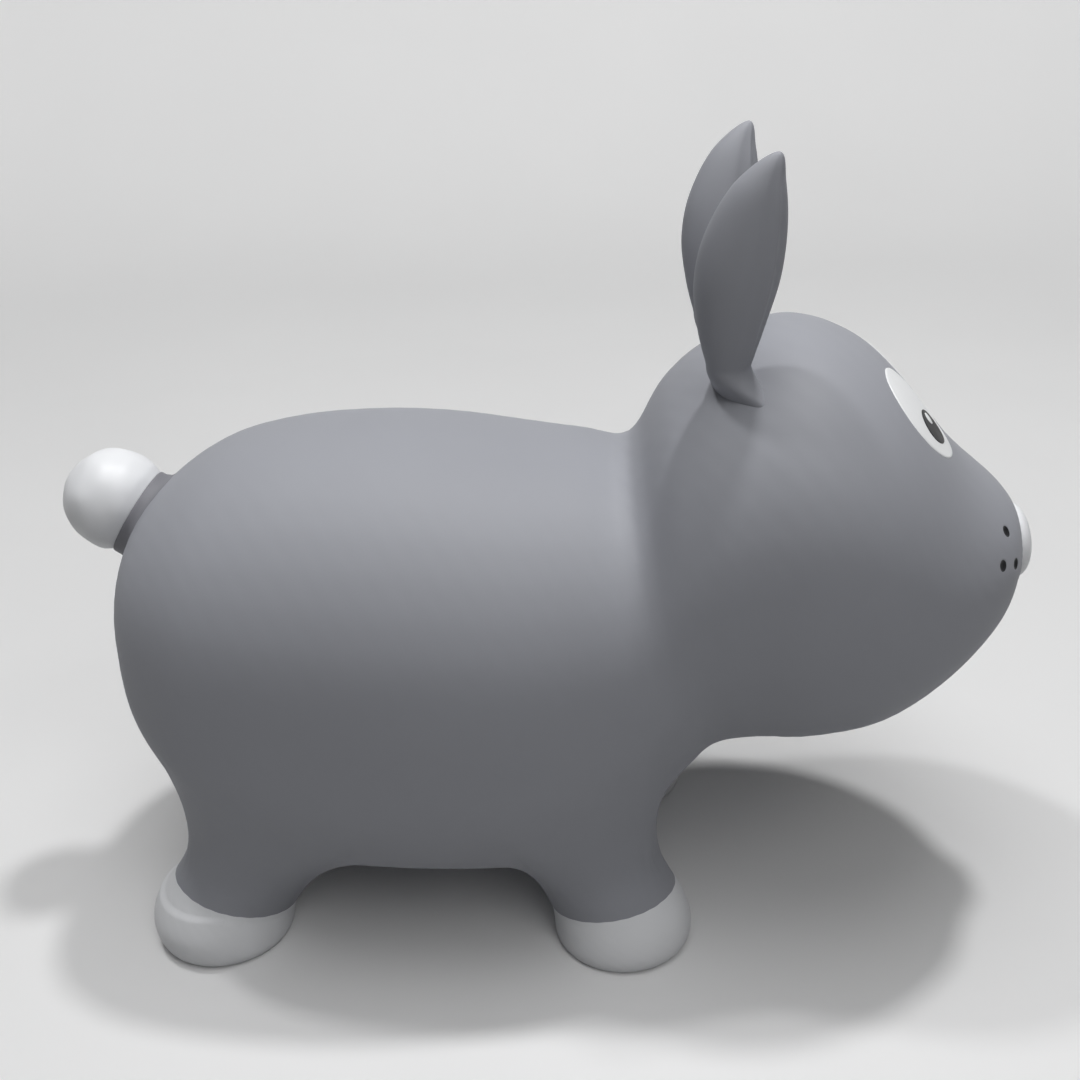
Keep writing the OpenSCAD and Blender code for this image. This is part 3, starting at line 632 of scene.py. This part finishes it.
ball = dress(make_ball(), "body", ["tail_ball"])
stub = dress(make_stub(), "body", ["tail_collar"])


# Nose: a low dome with its skirt sunk in the muzzle, with sizes in millimetres

NOSE_AXIS = np.array([0.995, 0.0, 0.0995])
NOSE_BASE = np.array([254.7, 0.0, 213.0]) * MM
NOSE_ACROSS = np.array([0.0, 1.0, 0.0])
NOSE_UP = np.cross(NOSE_AXIS, NOSE_ACROSS)
NOSE_SIDES = 72
NOSE_RADIUS, NOSE_HEIGHT, NOSE_TOP = 20.2, 8.1, 8.15
NOSE_CLIMB = np.radians(np.linspace(0, 86, 22))
# Radius and rise
NOSE_SKIRT = (20.2, -7.0), (20.4, -4.0), (20.3, -1.5)


def make_nose():
    dome = [(NOSE_RADIUS * math.cos(a) ** 0.8, NOSE_HEIGHT * math.sin(a)) for a in NOSE_CLIMB]
    profile = [*NOSE_SKIRT, *dome]
    spokes = circle(NOSE_UP, NOSE_ACROSS, NOSE_SIDES)
    rings = [NOSE_BASE + MM * (radius * spokes + rise * NOSE_AXIS) for radius, rise in profile]
    top = NOSE_BASE + NOSE_TOP * MM * NOSE_AXIS
    faces = loft_faces(len(profile), NOSE_SIDES, last_point=True)
    return new_piece("soft_nose", np.vstack(rings + [top]), [f[::-1] for f in faces])


nose = dress(make_nose(), "body", ["nose"])


# Printed eyes and painted dots: thin films that follow the skin

# Kind, rise above the skin and slot
PRINTS = (("eye_white", 0.30 * MM, "white_print"),
          ("pupil", 0.55 * MM, "black_print"),
          ("eye_glint", 0.80 * MM, "white_print"))
# About the way that the left eye faces
EYE_OUTWARD = np.array([0.75, 0.35, 0.55])
# As shares of the solid pupil's half sizes
PUPIL_DROP, PUPIL_LENGTH, PUPIL_WIDTH = 0.13, 0.87, 1.26
GLINT_DROP = 3.0 * MM
DOT_LIFT = 0.12 * MM
DOT_SIDES = 32
FILM_RINGS = 16
FILM_EDGE = 0.25 * MM


def film(name, middle, e1, e2, radii, lift, sides=64):
    """An oval film on the skin with a rounded edge, seen from the side its normal points to."""
    normal = np.cross(e1, e2)
    # From the rim, which is sunk in the skin, to near the middle: share of the radii and rise
    levels = [(1.012, -FILM_EDGE), (1.0, lift * 0.6), (0.985, lift)]
    levels += [(share, lift) for share in np.linspace(0.94, 0.06, FILM_RINGS)]

    def laid(spot, rise):
        place, slope = on_skin(spot + RAY_START * normal, -normal)
        return place + slope * rise

    spokes = circle(radii[0] * e1, radii[1] * e2, sides)
    points = [laid(middle + share * spoke, rise) for share, rise in levels for spoke in spokes]
    points.append(laid(middle, lift))
    return new_piece(name, np.array(points), loft_faces(len(levels), sides, last_point=True))


def oval_of(node, away):
    """Middle, long axis (downward), short axis and half sizes of a printed node, seen from away."""
    points = cad_mesh(node)[0]
    middle = (points.min(0) + points.max(0)) / 2
    _, _, axes = np.linalg.svd(points - points.mean(0))
    e1, e2 = axes[0], axes[1]
    if e1[2] > 0:
        e1 = -e1
    if np.cross(e1, e2) @ away < 0:
        e2 = -e2
    along, across = (points - middle) @ e1, (points - middle) @ e2
    middle = middle + e1 * (along.max() + along.min()) / 2 + e2 * (across.max() + across.min()) / 2
    return middle, e1, e2, (np.ptp(along) / 2, np.ptp(across) / 2)


prints = {}
for which, side in (("left", 1), ("right", -1)):
    for kind, lift, slot in PRINTS:
        node = which + "_" + kind
        middle, e1, e2, radii = oval_of(node, EYE_OUTWARD * [1, side, 1])
        if kind == "pupil":
            down = e1
            middle = middle + PUPIL_DROP * radii[0] * down
            radii = PUPIL_LENGTH * radii[0], PUPIL_WIDTH * radii[1]
        if kind == "eye_glint":
            middle = middle + GLINT_DROP * down
        prints[node] = dress(film("soft_" + node, middle, e1, e2, radii, lift), "body", [node])

dot_pieces = []
for number, spot in enumerate(DOTS):
    normal = np.array(skin_tree.find_nearest(Vector(spot))[1])
    e1 = np.cross([0, 0, 1], normal)
    e1 /= np.linalg.norm(e1)
    e2 = np.cross(normal, e1)
    dot = film("soft_dot_%d" % number, spot, e1, e2, (DOT_RADIUS, DOT_RADIUS), DOT_LIFT, DOT_SIDES)
    dot_pieces.append(dress(dot, "body", ["whisker_dots"]))


# Materials


class Nodes:
    """A material's node tree, with short calls to add and join nodes."""

    def __init__(self, name):
        self.material = bpy.data.materials.new(name)
        self.material.use_nodes = True
        self.tree = self.material.node_tree
        self.shader = self.tree.nodes["Principled BSDF"]
        self.place = self.add("ShaderNodeTexCoord").outputs["Object"]

    def add(self, kind, **values):
        node = self.tree.nodes.new(kind)
        for key, value in values.items():
            if key in node.inputs:
                node.inputs[key].default_value = value
            else:
                setattr(node, key, value)
        return node

    def link(self, source, target):
        self.tree.links.new(source, target)

    def noise(self, scale, detail):
        node = self.add("ShaderNodeTexNoise", Scale=scale, Detail=detail)
        self.link(self.place, node.inputs["Vector"])
        return node.outputs["Fac"]

    def ramp(self, source, *stops):
        """Colours by value: two stops, each a pair of place and colour."""
        node = self.add("ShaderNodeValToRGB")
        for element, (position, colour) in zip(node.color_ramp.elements, stops):
            element.position = position
            element.color = (*colour, 1)
        self.link(source, node.inputs["Fac"])
        return node.outputs["Color"]

    def colour(self, source):
        self.link(source, self.shader.inputs["Base Color"])

    def gloss(self, source):
        self.link(source, self.shader.inputs["Roughness"])

    def bump(self, *heights):
        """Bumps laid over each other: pairs of height and distance in metres."""
        normal = None
        for height, distance in heights:
            node = self.add("ShaderNodeBump", Distance=distance, Strength=1.0)
            self.link(height, node.inputs["Height"])
            if normal is not None:
                self.link(normal, node.inputs["Normal"])
            normal = node.outputs["Normal"]
        self.link(normal, self.shader.inputs["Normal"])


def grey(level):
    return (level, level, level)


def vinyl(name, light, dark):
    """Matt moulded vinyl: faint mottling, a broad sheen and a fine grain."""
    nodes = Nodes(name)
    nodes.colour(nodes.ramp(nodes.noise(11, 3), (0.30, dark), (0.70, light)))
    nodes.gloss(nodes.ramp(nodes.noise(45, 3), (0.3, grey(0.61)), (0.7, grey(0.63))))
    nodes.bump((nodes.noise(60, 2), 0.02 * MM), (nodes.noise(1100, 2), 0.02 * MM))
    return nodes.material


def paint(name, light, dark, roughness, shine=0.5):
    """Semi-gloss paint over vinyl."""
    nodes = Nodes(name)
    nodes.colour(nodes.ramp(nodes.noise(25, 3), (0.35, dark), (0.65, light)))
    nodes.gloss(nodes.ramp(nodes.noise(70, 3), (0.3, grey(roughness - 0.05)), (0.7, grey(roughness + 0.07))))
    nodes.shader.inputs["Specular IOR Level"].default_value = shine
    nodes.bump((nodes.noise(80, 2), 0.03 * MM), (nodes.noise(700, 2), 0.01 * MM))
    return nodes.material


grey_vinyl = vinyl("grey_vinyl", (0.322, 0.330, 0.362), (0.311, 0.318, 0.349))
# The tail stub's darker grey is painted shade: it stands for the shade that the ball casts on it
painted_shade_collar_vinyl = vinyl("painted_shade_collar_vinyl", (0.20, 0.20, 0.22), (0.17, 0.17, 0.19))
white_paint = paint("white_paint", (0.87, 0.88, 0.90), (0.84, 0.85, 0.87), 0.42)
white_print = paint("white_print", (0.90, 0.91, 0.92), (0.87, 0.88, 0.89), 0.34)
black_print = paint("black_print", (0.012, 0.012, 0.014), (0.006, 0.006, 0.007), 0.45, shine=0.2)
stopper_plastic = paint("stopper_plastic", (0.66, 0.67, 0.68), (0.60, 0.61, 0.62), 0.50)
for material, dressed in ((grey_vinyl, [skin, frame["nodes"]["valve_seat"]] + ears),
                          (painted_shade_collar_vinyl, [stub]),
                          (white_paint, [ball, nose] + feet),
                          (white_print, [prints[n] for n in prints if "pupil" not in n]),
                          (black_print, [prints[n] for n in prints if "pupil" in n] + dot_pieces),
                          (stopper_plastic, [frame["nodes"]["valve_plug"]])):
    for piece in dressed:
        piece.data.materials.clear()
        piece.data.materials.append(material)


# Stage: a pale floor that curves up into a wall, and looks paler than the light that it throws back

STAGE_REACH = 6.0
COVE_START, COVE_RADIUS = 1.6, 0.8
FLOOR_THROWN = grey(0.34), grey(0.36)
FLOOR_SEEN = grey(0.84), grey(0.87)
FLOOR_GLOW = {"From Min": 0.45, "From Max": 3.4, "To Min": 0.0, "To Max": 0.55}
SKY_COLOUR = (0.97, 0.98, 1.0, 1)
SKY_THROWN, SKY_SEEN = 0.04, 0.64


def seen_by_eye(tree):
    """A socket that is 1 for rays from the camera, mirrored and refracted ones too, and 0 for other light."""
    rays = tree.nodes.new("ShaderNodeLightPath").outputs
    seen = rays["Is Camera Ray"]
    for kind in ("Is Glossy Ray", "Is Transmission Ray"):
        either = tree.nodes.new("ShaderNodeMath")
        either.operation = "MAXIMUM"
        tree.links.new(seen, either.inputs[0])
        tree.links.new(rays[kind], either.inputs[1])
        seen = either.outputs[0]
    return seen


def floor_material():
    """Faintly uneven pale grey, which glows towards the far end for the eye alone."""
    nodes = Nodes("floor")
    seen = seen_by_eye(nodes.tree)
    grain = nodes.noise(3, 2)
    # A mix of colours has its share in input 0, the colours in 6 and 7 and the result in output 2
    shade = nodes.add("ShaderNodeMix", data_type="RGBA")
    nodes.link(seen, shade.inputs[0])
    for (dark, light), target in ((FLOOR_THROWN, shade.inputs[6]), (FLOOR_SEEN, shade.inputs[7])):
        nodes.link(nodes.ramp(grain, (0.3, dark), (0.7, light)), target)
    nodes.colour(shade.outputs[2])
    away = nodes.add("ShaderNodeVectorMath", operation="LENGTH")
    nodes.link(nodes.place, away.inputs[0])
    far = nodes.add("ShaderNodeMapRange", **FLOOR_GLOW)
    nodes.link(away.outputs["Value"], far.inputs["Value"])
    glow = nodes.add("ShaderNodeMath", operation="MULTIPLY")
    nodes.link(far.outputs[0], glow.inputs[0])
    nodes.link(seen, glow.inputs[1])
    nodes.link(glow.outputs[0], nodes.shader.inputs["Emission Strength"])
    nodes.shader.inputs["Emission Color"].default_value = (1, 1, 1, 1)
    nodes.shader.inputs["Roughness"].default_value = 0.7
    return nodes.material


cove = [(COVE_START + COVE_RADIUS * math.sin(a), COVE_RADIUS - COVE_RADIUS * math.cos(a))
        for a in np.radians(np.arange(0, 91, 10))]
floor_line = [(-STAGE_REACH, 0.0), *cove, (COVE_START + COVE_RADIUS, STAGE_REACH)]
floor_points = [(x, y, z) for x in (-STAGE_REACH, STAGE_REACH) for y, z in floor_line]
stride = len(floor_line)
floor_faces = [(k, k + 1, stride + k + 1, stride + k) for k in range(stride - 1)]
floor = new_piece("floor", floor_points, floor_faces)
floor.data.materials.append(floor_material())

world = bpy.data.worlds.new("studio")
bpy.context.scene.world = world
world.use_nodes = True
sky = world.node_tree
background = sky.nodes["Background"]
background.inputs["Color"].default_value = SKY_COLOUR
strength = sky.nodes.new("ShaderNodeMapRange")
strength.inputs["To Min"].default_value = SKY_THROWN
strength.inputs["To Max"].default_value = SKY_SEEN
sky.links.new(seen_by_eye(sky), strength.inputs["Value"])
sky.links.new(strength.outputs[0], background.inputs["Strength"])


# Light: two small ceiling lamps, which throw the two shadows, and two big soft ones

LAMP_AIM = Vector((0, 0, 0.15))
# Place, diameter and power in watts
LAMPS = {"key_right": ((0.38, 0.28, 2.2), 0.18, 15.7),
         "key_left": ((-0.58, 0.20, 2.2), 0.18, 8.8),
         "overhead": ((0.0, -0.30, 2.25), 1.3, 12.8),
         "front": ((0.55, -1.25, 1.70), 1.2, 9)}

for name, (place, size, power) in LAMPS.items():
    light = bpy.data.lights.new(name, "AREA")
    light.shape = "DISK"
    light.size = size
    light.energy = power
    lamp = add_object(name, light)
    lamp.location = place
    lamp.rotation_mode = "QUATERNION"
    lamp.rotation_quaternion = (LAMP_AIM - Vector(place)).to_track_quat("-Z", "Y")


# Camera: as worked out from the lines of the room in the photograph

# In pixels of the photograph
PHOTO_WIDTH, FOCAL_LENGTH = 1080, 1153
CAMERA_PLACE = Vector((0.0466, -0.5739, 0.491))
CAMERA_RIGHT = Vector((0.9973, 0.0599, -0.0423)).normalized()
CAMERA_FORWARD = Vector((-0.0723, 0.8993, -0.4312)).normalized()

lens = bpy.data.cameras.new("camera")
lens.sensor_width = 36
lens.lens = lens.sensor_width * FOCAL_LENGTH / PHOTO_WIDTH
lens.clip_start = 0.01
camera = add_object("camera", lens)
turn = Matrix((CAMERA_RIGHT, CAMERA_RIGHT.cross(CAMERA_FORWARD), -CAMERA_FORWARD)).transposed()
camera.matrix_world = Matrix.Translation(CAMERA_PLACE) @ turn.to_4x4()
bpy.context.scene.camera = camera

bpy.context.scene.view_settings.view_transform = "Standard"
